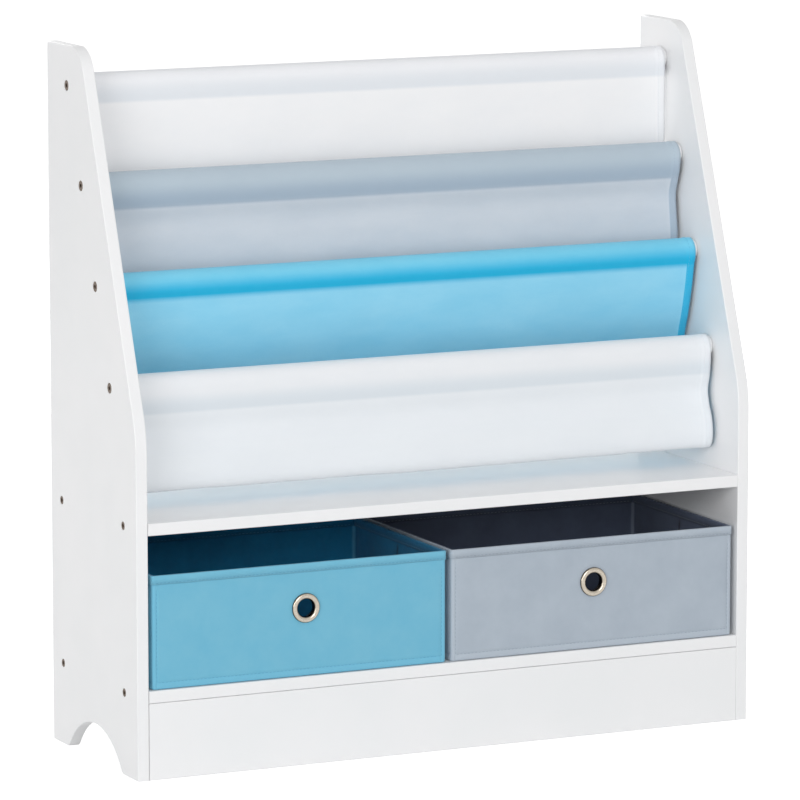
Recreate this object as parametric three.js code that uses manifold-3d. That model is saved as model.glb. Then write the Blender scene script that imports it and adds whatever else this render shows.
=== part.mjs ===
// A low sling bookshelf for a child's room. Two lacquered side panels carry two shelves, a plinth, a thin
// back board and four rods; a sewn sling hangs between the rods in three book pockets, and two fabric boxes
// slide into the bay below. Millimetres, +X to the right, -Y to the front, +Z up, origin on the floor in the
// middle of the footprint.
import * as THREE from "three";
import { mergeVertices } from "three/addons/utils/BufferGeometryUtils.js";
import Module from "manifold-3d";

const wasm = await Module();
wasm.setup();

// Driving dimensions
const WIDTH = 660;
const DEPTH = 215;
const HEIGHT = 690;
const BOARD = 12; // thickness of the lacquered boards
const EASED = 1; // chamfer on the boards' long edges
const GAP = 0.3; // between pieces that touch
const FRONT = -DEPTH / 2;
const REAR = DEPTH / 2;
const INSIDE = WIDTH / 2 - BOARD; // from the middle to a side panel's inner face

// Side panel outline
const BEND_Z = 333; // the upright front edge leans back from here
const TOP_EDGE_Y = 24; // where the leaning edge would meet the top
const BEND_RADIUS = 100;
const TOP_RADIUS = 30;
const ARCH_HEIGHT = 36;
const ARCH_RADIUS = 82;
const TOE_RADIUS = 8;

// Shelves, plinth and back board
const SHELF_Z = [75, 237]; // undersides of the lower and the upper shelf
const BACK_BOARD = 3;
const PLINTH_DOWEL_RADIUS = 3;
const PLINTH_DOWEL_Z = [20, 55];
const PLINTH_DOWEL_IN_PANEL = 8;
const PLINTH_DOWEL_LENGTH = 24;
const PLINTH_DOWEL_SIDES = 12;

// Rods: the top one first, each next one lower and further forward
const ROD_RADIUS = 10;
const ROD_SIDES = 24;
const ROD_TOP = { y: 58, z: 651 };
const ROD_STEP = { y: -34, z: -280 / 3 };
const ROD_NAMES = ["top", "second", "third", "lowest"];
const RODS = ROD_NAMES.map((name, i) => ({
  name,
  y: ROD_TOP.y + i * ROD_STEP.y,
  z: ROD_TOP.z + i * ROD_STEP.z,
}));

// Countersunk screws through the side panels
const ROD_SCREW = { head: 5, shank: 2.4, length: 50 };
const SHELF_SCREW = { head: 4, shank: 2, length: 42 };
const SHELF_SCREW_Y = [-75, 80];
const HEAD_LIP = 0.8; // straight rim of a head above its cone
const SOCKET_RADIUS = 2.2;
const SOCKET_DEPTH = 2;
const ROUND_SIDES = 16; // of the screws and of round holes

// Cloth
const CLOTH = 1.2; // thickness
const CLOTH_HALF_WIDTH = 314;
const SLEEVE_RADIUS = 11.4; // middle of the cloth where it lies over a rod
const CLOTH_STEP = 5; // length of a facet along the cloth
const SEAM_HEIGHT = 3;

// Fabric boxes
const EYELET = { bore: 9, barrel: 9.8, rim: 14.5, dome: 2.3 }; // radii, and how far the flange stands out
const BOX_WIDTH = 310.6;
const BOX_FRONT = FRONT + EYELET.dome; // the eyelet's face is level with the shelf fronts
const BOX_REAR = 103.5;
const BOX_FLOOR = SHELF_Z[0] + BOARD + 0.4;
const BOX_TOP = 198;
const BOX_MIDDLE_X = 158;
const COVER = 0.6; // outer fabric
const CARD = 1.6;
const LINING = 0.5;
const INSERT = 2.8; // loose stiff base
const INSERT_PLAY = 1; // all round the base
const BINDING_DROP = 9; // height of the binding that closes the walls at the top
const CORNER_RADIUS = 3;
const CREASE = 2; // gap between the two cards of a side wall, where it folds
const EYELET_Z = 154;
const EYELET_SIDES = 28;
const EYELET_HOLE = 10.2; // radius cut in the wall
const EYELET_OFF_CENTRE = { left: 5, right: 0 }; // punched a little off centre on the left box

// Finishes
const finish = (color, roughness, metalness = 0) =>
  new THREE.MeshStandardMaterial({ color, roughness, metalness });
const lacquer = finish(0xf0f0f0, 0.4);
const hardboard = finish(0xe9e9e7, 0.7);
const birch = finish(0xd8bd8c, 0.75);
const blackSteel = finish(0x4a413a, 0.4, 1);
const nickel = finish(0xcfc8bb, 0.25, 1);
const greyboard = finish(0xa59a86, 0.9);
const whiteCloth = finish(0xe9ecee, 0.85);
const greyCloth = finish(0xbfcbd6, 0.85);
const blueCloth = finish(0x79c6e6, 0.85);
const blueFelt = finish(0x78bcd8, 0.9);
const greyFelt = finish(0xb2bdc8, 0.9);

const shelf = new THREE.Group();

function add(group, name, geometry, material, x = 0, y = 0, z = 0) {
  const mesh = new THREE.Mesh(geometry, material);
  mesh.name = name;
  mesh.position.set(x, y, z);
  group.add(mesh);
  return mesh;
}

// Turns a closed geometry into a solid that can be cut and joined.
function solid(geometry) {
  const plain = geometry.index ? geometry.toNonIndexed() : geometry.clone();
  plain.deleteAttribute("normal");
  plain.deleteAttribute("uv");
  const merged = mergeVertices(plain, 1e-4);
  return new wasm.Manifold(
    new wasm.Mesh({
      numProp: 3,
      vertProperties: merged.attributes.position.array,
      triVerts: new Uint32Array(merged.index.array),
    }),
  );
}

function geometryOf(body) {
  const mesh = body.getMesh();
  const geometry = new THREE.BufferGeometry();
  geometry.setAttribute("position", new THREE.BufferAttribute(new Float32Array(mesh.vertProperties), 3));
  geometry.setIndex(new THREE.BufferAttribute(mesh.triVerts, 1));
  geometry.computeVertexNormals();
  return geometry;
}

const cut = (geometry, tools) =>
  geometryOf(tools.reduce((body, tool) => body.subtract(solid(tool)), solid(geometry)));
const join = (geometries) =>
  geometryOf(geometries.slice(1).reduce((body, more) => body.add(solid(more)), solid(geometries[0])));

// Runs an outline drawn as (y, z) from x = 0 to x = length.
const OUTLINE_TO_X = new THREE.Matrix4().makeBasis(
  new THREE.Vector3(0, 1, 0),
  new THREE.Vector3(0, 0, 1),
  new THREE.Vector3(1, 0, 0),
);
function acrossX(outline, length, curveSegments = 4) {
  const geometry = new THREE.ExtrudeGeometry(outline, { depth: length, bevelEnabled: false, curveSegments });
  return geometry.applyMatrix4(OUTLINE_TO_X);
}

// A solid turned about the X axis from a profile of [x, radius] that starts and ends on the axis.
function turnedAboutX(profile, sides) {
  const points = profile.map(([x, radius]) => new THREE.Vector2(radius, x));
  return new THREE.LatheGeometry(points, sides).rotateZ(-Math.PI / 2);
}

// A round or many-sided bar along X, from x0 to x1.
const barX = (radius, x0, x1, sides = ROUND_SIDES) =>
  turnedAboutX([[x0, 0], [x0, radius], [x1, radius], [x1, 0]], sides);

// Rounds one corner of an outline: a straight line up to it and an arc of the given radius round it.
function roundedCorner(outline, before, corner, after, radius) {
  const to = new THREE.Vector2(...corner);
  const back = new THREE.Vector2(...before).sub(to).normalize();
  const on = new THREE.Vector2(...after).sub(to).normalize();
  const half = Math.acos(back.dot(on)) / 2;
  const centre = back.clone().add(on).normalize().multiplyScalar(radius / Math.sin(half)).add(to);
  const start = back.multiplyScalar(radius / Math.tan(half)).add(to);
  const end = on.multiplyScalar(radius / Math.tan(half)).add(to);
  outline.lineTo(start.x, start.y);
  const from = Math.atan2(start.y - centre.y, start.x - centre.x);
  const until = Math.atan2(end.y - centre.y, end.x - centre.x);
  outline.absarc(centre.x, centre.y, radius, from, until, false);
}

// Side panels: upright at the back, leaning at the front, with a bracket arch between the two feet
const archCentre = ARCH_HEIGHT - ARCH_RADIUS;
const toeY = Math.sqrt((ARCH_RADIUS + TOE_RADIUS) ** 2 - (TOE_RADIUS - archCentre) ** 2);
const toeAngle = Math.atan2(TOE_RADIUS - archCentre, toeY);

function panelOutline() {
  const outline = new THREE.Shape();
  outline.moveTo(FRONT, 0);
  outline.lineTo(-toeY, 0);
  outline.absarc(-toeY, TOE_RADIUS, TOE_RADIUS, -Math.PI / 2, -toeAngle, false);
  outline.absarc(0, archCentre, ARCH_RADIUS, Math.PI - toeAngle, toeAngle, true);
  outline.absarc(toeY, TOE_RADIUS, TOE_RADIUS, Math.PI + toeAngle, 1.5 * Math.PI, false);
  outline.lineTo(REAR, 0);
  outline.lineTo(REAR, HEIGHT);
  roundedCorner(outline, [REAR, HEIGHT], [TOP_EDGE_Y, HEIGHT], [FRONT, BEND_Z], TOP_RADIUS);
  roundedCorner(outline, [TOP_EDGE_Y, HEIGHT], [FRONT, BEND_Z], [FRONT, 0], BEND_RADIUS);
  return outline;
}

// A countersunk screw along +X with its flat head at x = 0, and the hole that clears it.
const screwProfile = ({ head, shank, length }, clear) => [
  [-clear, 0],
  [-clear, head + clear],
  [HEAD_LIP + clear, head + clear],
  [HEAD_LIP + head - shank + clear, shank + clear],
  [length + clear, shank + clear],
  [length + clear, 0],
];
function screw(size) {
  const socket = barX(SOCKET_RADIUS, -1, SOCKET_DEPTH, 6);
  return cut(turnedAboutX(screwProfile(size, 0), ROUND_SIDES), [socket]);
}
const screwHole = (size, y, z) => turnedAboutX(screwProfile(size, GAP), ROUND_SIDES).translate(0, y, z);

const shelfScrewPlaces = SHELF_Z.flatMap((z, level) =>
  SHELF_SCREW_Y.map((y, i) => ({
    name: `${level ? "upper" : "lower"}_shelf_${i ? "rear" : "front"}`,
    y,
    z: z + BOARD / 2,
  })),
);
const plinthDowelPlaces = PLINTH_DOWEL_Z.map((z, i) => ({
  name: i ? "upper" : "lower",
  y: FRONT + BOARD / 2,
  z,
}));

// The left panel with its holes, outer face at x = 0; the right one is its mirror image.
function sidePanel() {
  const blank = new THREE.ExtrudeGeometry(panelOutline(), {
    depth: BOARD - 2 * EASED,
    bevelSize: EASED,
    bevelOffset: -EASED,
    bevelThickness: EASED,
    bevelSegments: 1,
    curveSegments: 7,
  });
  blank.applyMatrix4(OUTLINE_TO_X).translate(EASED, 0, 0);
  return cut(blank, [
    ...RODS.map(({ y, z }) => screwHole(ROD_SCREW, y, z)),
    ...shelfScrewPlaces.map(({ y, z }) => screwHole(SHELF_SCREW, y, z)),
    ...plinthDowelPlaces.map(({ y, z }) =>
      barX(PLINTH_DOWEL_RADIUS + GAP, BOARD - PLINTH_DOWEL_IN_PANEL - GAP, BOARD + 1).translate(0, y, z),
    ),
  ]);
}

// A solid reflected in the plane x = 0, with its faces turned the right way round again.
function mirroredInX(geometry) {
  const mirrored = geometry.clone().scale(-1, 1, 1);
  const index = mirrored.index.array;
  for (let i = 0; i < index.length; i += 3) [index[i + 1], index[i + 2]] = [index[i + 2], index[i + 1]];
  mirrored.computeVertexNormals();
  return mirrored;
}

const leftPanel = sidePanel();
add(shelf, "side_panel_left", leftPanel, lacquer, -WIDTH / 2);
add(shelf, "side_panel_right", mirroredInX(leftPanel), lacquer, WIDTH / 2);

// Boards between the panels, with square ends and eased long edges
function boardOutline(y0, y1, z0, z1) {
  const e = EASED;
  const corners = [
    [y0 + e, z0], [y1 - e, z0], [y1, z0 + e], [y1, z1 - e],
    [y1 - e, z1], [y0 + e, z1], [y0, z1 - e], [y0, z0 + e],
  ];
  return new THREE.Shape(corners.map(([y, z]) => new THREE.Vector2(y, z)));
}
const BETWEEN = 2 * (INSIDE - GAP);
const between = (y0, y1, z0, z1) =>
  acrossX(boardOutline(y0, y1, z0, z1), BETWEEN).translate(-BETWEEN / 2, 0, 0);

// The same hole at both ends of a board or rod, reaching in from each panel.
const endHoles = (radius, depth, y, z) => [
  barX(radius, INSIDE - depth, WIDTH / 2).translate(0, y, z),
  barX(radius, -WIDTH / 2, depth - INSIDE).translate(0, y, z),
];

const shelfRear = REAR - BACK_BOARD - GAP;
SHELF_Z.forEach((z, level) => {
  const holes = SHELF_SCREW_Y.flatMap((y) =>
    endHoles(SHELF_SCREW.shank + GAP, SHELF_SCREW.length - BOARD + 1, y, z + BOARD / 2),
  );
  const board = cut(between(FRONT, shelfRear, z, z + BOARD), holes);
  add(shelf, level ? "upper_shelf" : "lower_shelf", board, lacquer);
});

const dowelInPlinth = PLINTH_DOWEL_LENGTH - PLINTH_DOWEL_IN_PANEL;
const plinthHoles = plinthDowelPlaces.flatMap(({ y, z }) =>
  endHoles(PLINTH_DOWEL_RADIUS + GAP, dowelInPlinth + GAP, y, z),
);
add(shelf, "front_plinth", cut(between(FRONT, FRONT + BOARD, 0, SHELF_Z[0] - GAP), plinthHoles), lacquer);

const backBoardHeight = SHELF_Z[1] + BOARD - SHELF_Z[0];
add(
  shelf,
  "back_board",
  new THREE.BoxGeometry(BETWEEN, BACK_BOARD, backBoardHeight),
  hardboard,
  0,
  REAR - BACK_BOARD / 2,
  SHELF_Z[0] + backBoardHeight / 2,
);

// Rods, drilled at both ends for their screws
for (const { name, y, z } of RODS) {
  const rod = cut(
    barX(ROD_RADIUS, GAP - INSIDE, INSIDE - GAP, ROD_SIDES),
    endHoles(ROD_SCREW.shank + GAP, ROD_SCREW.length - BOARD + 1, 0, 0),
  );
  add(shelf, `sling_rod_${name}`, rod, lacquer, 0, y, z);
}

// Screws and dowels on both sides: those on the right are the left ones turned round
const rodScrew = screw(ROD_SCREW);
const shelfScrew = screw(SHELF_SCREW);
const plinthDowel = barX(
  PLINTH_DOWEL_RADIUS,
  BOARD - PLINTH_DOWEL_IN_PANEL,
  BOARD + dowelInPlinth,
  PLINTH_DOWEL_SIDES,
);
for (const [side, sign] of [["left", -1], ["right", 1]]) {
  const fasteners = [
    ...RODS.map((place) => [`rod_screw_${side}_${place.name}`, rodScrew, blackSteel, place]),
    ...shelfScrewPlaces.map((place) => [`screw_${side}_${place.name}`, shelfScrew, blackSteel, place]),
    ...plinthDowelPlaces.map((place) => [`plinth_dowel_${side}_${place.name}`, plinthDowel, birch, place]),
  ];
  for (const [name, geometry, material, { y, z }] of fasteners) {
    const fastener = add(shelf, name, geometry, material, (sign * WIDTH) / 2, y, z);
    fastener.rotation.z = side === "right" ? Math.PI : 0;
  }
}

// Sling cloth: each strip has a sleeve over its own rod, and its points are [y, z] counted from that rod
const arcOverRod = (...degrees) =>
  degrees.map((angle) => [
    SLEEVE_RADIUS * Math.cos(THREE.MathUtils.degToRad(angle)),
    SLEEVE_RADIUS * Math.sin(THREE.MathUtils.degToRad(angle)),
  ]);

// The outline of a band of cloth that follows a smooth line through the points.
function clothOutline(points) {
  const places = points.map(([y, z]) => new THREE.Vector3(y, z, 0));
  const line = new THREE.CatmullRomCurve3(places, false, "centripetal");
  const steps = Math.round(line.getLength() / CLOTH_STEP);
  const face = (side) =>
    Array.from({ length: steps + 1 }, (_, i) => {
      const at = line.getPointAt(i / steps);
      const along = line.getTangentAt(i / steps);
      return new THREE.Vector2(at.x - (along.y * side * CLOTH) / 2, at.y + (along.x * side * CLOTH) / 2);
    });
  return new THREE.Shape([...face(1), ...face(-1).reverse()]);
}

// The stitched line that closes a sleeve: a thin bar that joins its two layers at [y, z].
function seam([y, z]) {
  const outline = new THREE.Shape();
  outline.moveTo(y - CLOTH / 2, z - SEAM_HEIGHT / 2);
  outline.lineTo(y + CLOTH / 2, z - SEAM_HEIGHT / 2);
  outline.lineTo(y + CLOTH / 2, z + SEAM_HEIGHT / 2);
  outline.lineTo(y - CLOTH / 2, z + SEAM_HEIGHT / 2);
  return outline;
}

const slingStrips = [
  {
    // from the hem behind the top rod, over it, and down the back of the first pocket
    name: "sling_back_strip_white",
    material: whiteCloth,
    seamAt: [-10.8, -17],
    points: [
      [-9.8, -17.5], [-1.5, -14], ...arcOverRod(-45, 0, 45, 90, 130), [-11.5, 2], [-11.8, -8],
      [-11.8, -20], [-11.8, -50], [-11.8, -85], [-9.5, -115], [-4, -142], [-1, -163], [-5, -180],
      [-14, -189.6], [-24, -189.6],
    ],
  },
  {
    // up the front of the first pocket, over the second rod, and down the back of the second pocket
    name: "sling_strip_grey",
    material: greyCloth,
    seamAt: [-8.2, -23],
    points: [
      [20, -94.5], [12, -94.5], [4, -90], [-1.5, -76], [-2.5, -60], [-1, -39], [-7.2, -23], [2.5, -14],
      ...arcOverRod(-45, 0, 45, 90, 130), [-11.9, 2], [-12.6, -8], [-9, -23], [-3.7, -39], [-6, -58],
      [-8, -82], [-4, -106], [7, -128], [12, -147], [10.5, -167], [6.5, -182], [0, -191.8], [-12, -191.8],
    ],
  },
  {
    // up the front of the second pocket, over the third rod, and down the back of the third pocket
    name: "sling_strip_blue",
    material: blueCloth,
    seamAt: [-8.7, -15],
    points: [
      [33, -96.7], [24, -96.4], [17.5, -89], [13, -78], [6, -62], [-2.5, -34], [-7.7, -15], [2.5, -13.6],
      ...arcOverRod(-45, 0, 45, 90, 130), [-11.8, 2], [-12.2, -6], [-9.5, -15], [-6, -34], [1.8, -63],
      [8.5, -84], [12, -100], [16, -118], [21.5, -140], [22.5, -160], [18, -178], [6, -191.5], [-6, -197],
      [-20, -197.2],
    ],
  },
  {
    // up the front of the third pocket, over the lowest rod, and down behind it to its hem
    name: "sling_front_strip_white",
    material: whiteCloth,
    seamAt: [-9.4, -27],
    points: [
      [25, -101.8], [13, -101.8], [-2, -102.2], [-12, -100.8], [-16.8, -94], [-17.5, -82], [-14.6, -69],
      [-9.6, -58], [-6.5, -44], [-10.2, -27], [-12, -8], [-11.5, 2], ...arcOverRod(130, 90, 45, 0, -45),
      [2.5, -14], [-8.6, -27.5],
    ],
  },
];
slingStrips.forEach(({ name, material, seamAt, points }, i) => {
  const width = 2 * CLOTH_HALF_WIDTH;
  const strip = join([acrossX(clothOutline(points), width), acrossX(seam(seamAt), width)]);
  add(shelf, name, strip, material, -CLOTH_HALF_WIDTH, RODS[i].y, RODS[i].z);
});

// Fabric boxes: an outer cover and a lining over stiff cards, closed at the top by a binding level with
// their faces, with a loose base inside and a metal finger eyelet
const coverHalfX = BOX_WIDTH / 2;
const coverHalfY = (BOX_REAR - BOX_FRONT) / 2;
const bindingFoot = BOX_TOP - BINDING_DROP;
const coverTop = bindingFoot - GAP;
const cardInset = COVER + GAP;
const liningInset = cardInset + CARD + GAP;
const insideInset = liningInset + LINING;

// An upright block with rounded corners, its sides inset from the cover's outside.
function block(inset, z0, z1) {
  const [x, y] = [coverHalfX - inset, coverHalfY - inset];
  const r = Math.max(CORNER_RADIUS - inset, 0.5);
  const outline = new THREE.Shape();
  outline.moveTo(x, -y + r);
  outline.absarc(x - r, y - r, r, 0, Math.PI / 2, false);
  outline.absarc(-x + r, y - r, r, Math.PI / 2, Math.PI, false);
  outline.absarc(-x + r, -y + r, r, Math.PI, 1.5 * Math.PI, false);
  outline.absarc(x - r, -y + r, r, 1.5 * Math.PI, 2 * Math.PI, false);
  const upright = { depth: z1 - z0, bevelEnabled: false, curveSegments: 2 };
  return new THREE.ExtrudeGeometry(outline, upright).translate(0, 0, z0);
}

// A round bar along Y through the front wall, where the eyelet sits.
const eyeletBar = (radius, x) =>
  new THREE.CylinderGeometry(radius, radius, 20, EYELET_SIDES).translate(x, -coverHalfY, EYELET_Z);

// A solid turned about the eyelet's axis from a closed profile of [depth into the wall, radius].
const turnedAboutEyelet = (profile) =>
  new THREE.LatheGeometry(
    [...profile, profile[0]].map(([depth, radius]) => new THREE.Vector2(radius, depth)),
    EYELET_SIDES,
  );

function card(x0, x1, y0, y1, z0, z1) {
  const flat = new THREE.BoxGeometry(x1 - x0, y1 - y0, z1 - z0);
  return flat.translate((x0 + x1) / 2, (y0 + y1) / 2, (z0 + z1) / 2);
}

function fabricBox(side, felt) {
  const box = new THREE.Group();
  const eyeletX = EYELET_OFF_CENTRE[side];
  const named = (piece) => `${side}_box_${piece}`;
  const hole = eyeletBar(EYELET_HOLE, eyeletX);
  const floorTop = BOX_FLOOR + COVER;
  const liningFloor = floorTop + GAP;

  const cover = cut(block(0, BOX_FLOOR, coverTop), [block(COVER, floorTop, BOX_TOP), hole]);
  add(box, named("cover"), cover, felt);
  const liningTop = liningFloor + LINING;
  const lining = cut(block(liningInset, liningFloor, coverTop), [
    block(insideInset, liningTop, BOX_TOP),
    hole,
  ]);
  add(box, named("lining"), lining, felt);

  const cardSlot = cut(block(COVER, bindingFoot - 1, BOX_TOP - COVER), [
    block(insideInset - LINING, bindingFoot - 2, BOX_TOP),
  ]);
  const inside = block(insideInset, bindingFoot - 1, BOX_TOP + 1);
  add(box, named("rim_binding"), cut(block(0, bindingFoot, BOX_TOP), [cardSlot, inside]), felt);

  const [x, y] = [coverHalfX - cardInset, coverHalfY - cardInset];
  const [z0, z1] = [liningFloor, BOX_TOP - COVER - GAP];
  const end = coverHalfX - CORNER_RADIUS; // where the cover's corner starts to turn
  add(box, named("front_wall_card"), cut(card(-end, end, -y, CARD - y, z0, z1), [hole]), greyboard);
  add(box, named("rear_wall_card"), card(-end, end, y - CARD, y, z0, z1), greyboard);
  const sideEnd = y - CARD - GAP;
  for (const [wall, wallX] of [["left", -x], ["right", x - CARD]]) {
    const halves = { front: [-sideEnd, -CREASE / 2], rear: [CREASE / 2, sideEnd] };
    for (const [half, [y0, y1]] of Object.entries(halves)) {
      const upright = card(wallX, wallX + CARD, y0, y1, z0, z1);
      add(box, named(`${wall}_wall_card_${half}`), upright, greyboard);
    }
  }

  const base = block(insideInset + INSERT_PLAY, liningTop + GAP, liningTop + GAP + INSERT);
  add(box, named("base_insert"), base, felt);

  // The eyelet's domed flange lies on the cover, and its barrel is rolled over a washer inside.
  const { bore, barrel, rim, dome } = EYELET;
  const inner = insideInset + GAP; // the washer's seat
  const eyelet = turnedAboutEyelet([
    [-GAP, barrel], [inner + 1.3, barrel], [inner + 1.3, barrel + 1.8], [inner + 1.9, barrel + 1.8],
    [inner + 2.3, barrel + 0.6], [inner + 1.7, bore], [-0.6, bore], [0.6 - dome, bore + 0.9],
    [-dome, rim - 3], [0.2 - dome, rim - 1.6], [-1.2, rim - 0.2], [-GAP, rim],
  ]);
  add(box, named("eyelet"), eyelet, nickel, eyeletX, -coverHalfY, EYELET_Z);
  const washer = turnedAboutEyelet([
    [inner, barrel + GAP], [inner, rim - 1], [inner + 1, rim - 1.3], [inner + 1, barrel + GAP],
  ]);
  add(box, named("eyelet_washer"), washer, nickel, eyeletX, -coverHalfY, EYELET_Z);
  return box;
}

for (const [side, sign, felt] of [["left", -1, blueFelt], ["right", 1, greyFelt]]) {
  const box = fabricBox(side, felt);
  box.position.set(sign * BOX_MIDDLE_X, (BOX_FRONT + BOX_REAR) / 2, 0);
  shelf.add(box);
}

export default shelf;
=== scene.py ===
# A low sling bookshelf for a child's room, 66 cm wide and 69 cm high: white lacquered boards, four rods with
# a sewn cloth sling that makes three book pockets, and two fabric boxes in the bay below.
import math

import bmesh
import bpy
from mathutils import Matrix, Vector, geometry, noise


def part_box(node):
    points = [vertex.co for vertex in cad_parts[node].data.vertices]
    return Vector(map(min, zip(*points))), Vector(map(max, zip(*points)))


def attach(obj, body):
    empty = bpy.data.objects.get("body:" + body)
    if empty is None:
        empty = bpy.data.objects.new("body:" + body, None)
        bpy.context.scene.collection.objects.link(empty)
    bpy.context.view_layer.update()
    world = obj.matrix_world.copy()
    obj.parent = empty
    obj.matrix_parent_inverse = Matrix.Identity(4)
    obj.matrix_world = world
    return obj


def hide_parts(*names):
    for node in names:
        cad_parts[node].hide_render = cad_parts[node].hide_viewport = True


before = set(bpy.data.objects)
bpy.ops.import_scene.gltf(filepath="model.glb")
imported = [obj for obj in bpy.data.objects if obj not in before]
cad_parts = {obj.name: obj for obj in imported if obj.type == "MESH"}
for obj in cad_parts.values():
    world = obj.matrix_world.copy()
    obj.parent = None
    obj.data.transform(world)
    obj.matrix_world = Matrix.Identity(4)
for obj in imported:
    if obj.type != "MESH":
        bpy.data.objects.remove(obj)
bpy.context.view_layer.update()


# Side panels
# Two 12 mm boards, cut to a leaning front edge with a rounded top corner and a bracket arch between the feet,
# their long edges eased and everything sprayed white. Eight countersunk holes each take the screws.
MM = 0.001
TOUCHING = 1e-6
ACROSS, BACKWARD, UPWARD = Vector((1, 0, 0)), Vector((0, 1, 0)), Vector((0, 0, 1))
AS_WIDE = (1, 1, 1)


def tone(code):
    """A colour written as on a paint card, turned into the numbers that the finishes take."""
    steps = [int(code[i:i + 2], 16) / 255 for i in (1, 3, 5)]
    return (*[s / 12.92 if s < 0.04045 else ((s + 0.055) / 1.055) ** 2.4 for s in steps], 1)


def put(tree, kind, takes={}, **settings):
    """Puts a node in a finish, with each of its inputs set to a value or joined to another node."""
    node = tree.nodes.new(kind)
    for name, value in settings.items():
        setattr(node, name, value)
    for name, value in takes.items():
        if isinstance(value, bpy.types.NodeSocket):
            tree.links.new(value, node.inputs[name])
        else:
            node.inputs[name].default_value = value
    return node


def sum_of(tree, operation, a, b=0.0, c=0.0):
    """One step of arithmetic in a finish."""
    return put(tree, "ShaderNodeMath", {0: a, 1: b, 2: c}, operation=operation).outputs[0]


def between(tree, share, low, high):
    """A colour between two others."""
    mixed = put(tree, "ShaderNodeMix", {0: share, 6: low, 7: high}, data_type="RGBA")
    return mixed.outputs[2]


def spotty(tree, where, scale, detail=2.0, roughness=0.5):
    """Soft random spots, so many to the metre."""
    takes = {"Vector": where, "Scale": scale, "Detail": detail, "Roughness": roughness}
    return put(tree, "ShaderNodeTexNoise", takes).outputs[0]


def ranged(tree, value, low, high, new_low, new_high):
    """Spreads the part of a value from low to high over a new range."""
    takes = {0: value, 1: low, 2: high, 3: new_low, 4: new_high}
    return put(tree, "ShaderNodeMapRange", takes).outputs[0]


def drawn_out(tree, where, scale):
    """A place in a pattern, with the pattern drawn out where the scale is small."""
    return put(tree, "ShaderNodeMapping", {0: where, 3: scale}).outputs[0]


def spots(scale, detail=2.0, roughness=0.5, drawn=None):
    """Part of a finish: soft random spots over the piece, drawn out along some axes or not."""
    def part(tree):
        where = put(tree, "ShaderNodeTexCoord").outputs["Object"]
        return spotty(tree, drawn_out(tree, where, drawn) if drawn else where, scale, detail, roughness)
    return part


def wandering(part, least, most, low=0.3, high=0.7):
    """Part of a finish: a value that wanders between least and most."""
    return lambda tree: ranged(tree, part(tree), low, high, least, most)


def mottled(part, light, dark):
    """Part of a finish: a colour that wanders between two."""
    return lambda tree: between(tree, part(tree), tone(light), tone(dark))


def finish(name, colour, roughness, bump, depth, metallic=0.0, coat=0.0, sheen=0.0):
    """A finish with its shader, put together from its parts."""
    material = bpy.data.materials.new(name)
    material.use_nodes = True
    tree = material.node_tree
    shader = tree.nodes["Principled BSDF"]
    shader.inputs["Metallic"].default_value = metallic
    shader.inputs["Coat Weight"].default_value = coat
    shader.inputs["Sheen Weight"].default_value = sheen
    tree.links.new(colour(tree), shader.inputs["Base Color"])
    tree.links.new(roughness(tree), shader.inputs["Roughness"])
    raised = put(tree, "ShaderNodeBump", {"Height": bump(tree), "Distance": depth, "Strength": 1.0})
    tree.links.new(raised.outputs[0], shader.inputs["Normal"])
    return material


def sprayed(name, light, dark, rough):
    """Sprayed paint: a faint cloudiness, the fine dimples of orange peel, and gloss that varies a little."""
    return finish(
        name,
        mottled(wandering(spots(9, 3), 0, 1, 0.35, 0.65), light, dark),
        wandering(spots(40, 4), rough - 0.05, rough + 0.07),
        lambda tree: sum_of(tree, "MULTIPLY_ADD", spots(900, 1)(tree), 0.35, spots(260)(tree)),
        0.05 * MM,
        coat=0.12,
    )


white_lacquer = sprayed("white_lacquer", "#F2F2F3", "#EFF0F1", 0.36)


def added(name, data):
    """Sets a new object down in the scene."""
    thing = bpy.data.objects.new(name, data)
    bpy.context.scene.collection.objects.link(thing)
    return thing


def finished(name, bm, material, body, stands_for=(), smooth_below=40, even=False):
    """Turns a mesh into a piece with its finish, riding on a body in place of the plain solids named."""
    bmesh.ops.remove_doubles(bm, verts=bm.verts, dist=TOUCHING)
    bmesh.ops.recalc_face_normals(bm, faces=bm.faces)
    mesh = bpy.data.meshes.new(name)
    bm.to_mesh(mesh)
    bm.free()
    mesh.materials.append(material)
    mesh.shade_smooth()
    mesh.set_sharp_from_angle(angle=math.radians(smooth_below))
    piece = added(name, mesh)
    if even:
        piece.modifiers.new("flat faces stay flat", "WEIGHTED_NORMAL").keep_sharp = True
    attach(piece, body)
    if stands_for:
        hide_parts(*stands_for)
    return piece


def only(kind, things):
    """The things of one kind."""
    return [thing for thing in things if isinstance(thing, kind)]


def run_to(bm, vert, y, z):
    """Draws a straight line from the outline's last point to (y, z)."""
    new = bmesh.ops.extrude_vert_indiv(bm, verts=[vert])["verts"][0]
    new.co = (vert.co.x, y * MM, z * MM)
    return new


def turn_about(bm, vert, y, z, degrees, steps):
    """Swings the outline's last point round the centre (y, z)."""
    centre = (vert.co.x, y * MM, z * MM)
    arc = bmesh.ops.spin(bm, geom=[vert], cent=centre, axis=ACROSS, angle=math.radians(degrees), steps=steps)
    return only(bmesh.types.BMVert, arc["geom_last"])[0]


def rounded(bm, parts, reach, steps, kind="EDGES"):
    """Rounds edges or corners off, cutting into each side by the reach."""
    return bmesh.ops.bevel(bm, geom=parts, offset=reach * MM, segments=steps, profile=0.5, affect=kind,
                           material=-1)


def scored(bm, parts, axis, place):
    """Scores faces along a flat plane across an axis."""
    bmesh.ops.bisect_plane(bm, geom=parts, dist=1e-7, plane_co=axis * place, plane_no=axis)


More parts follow.
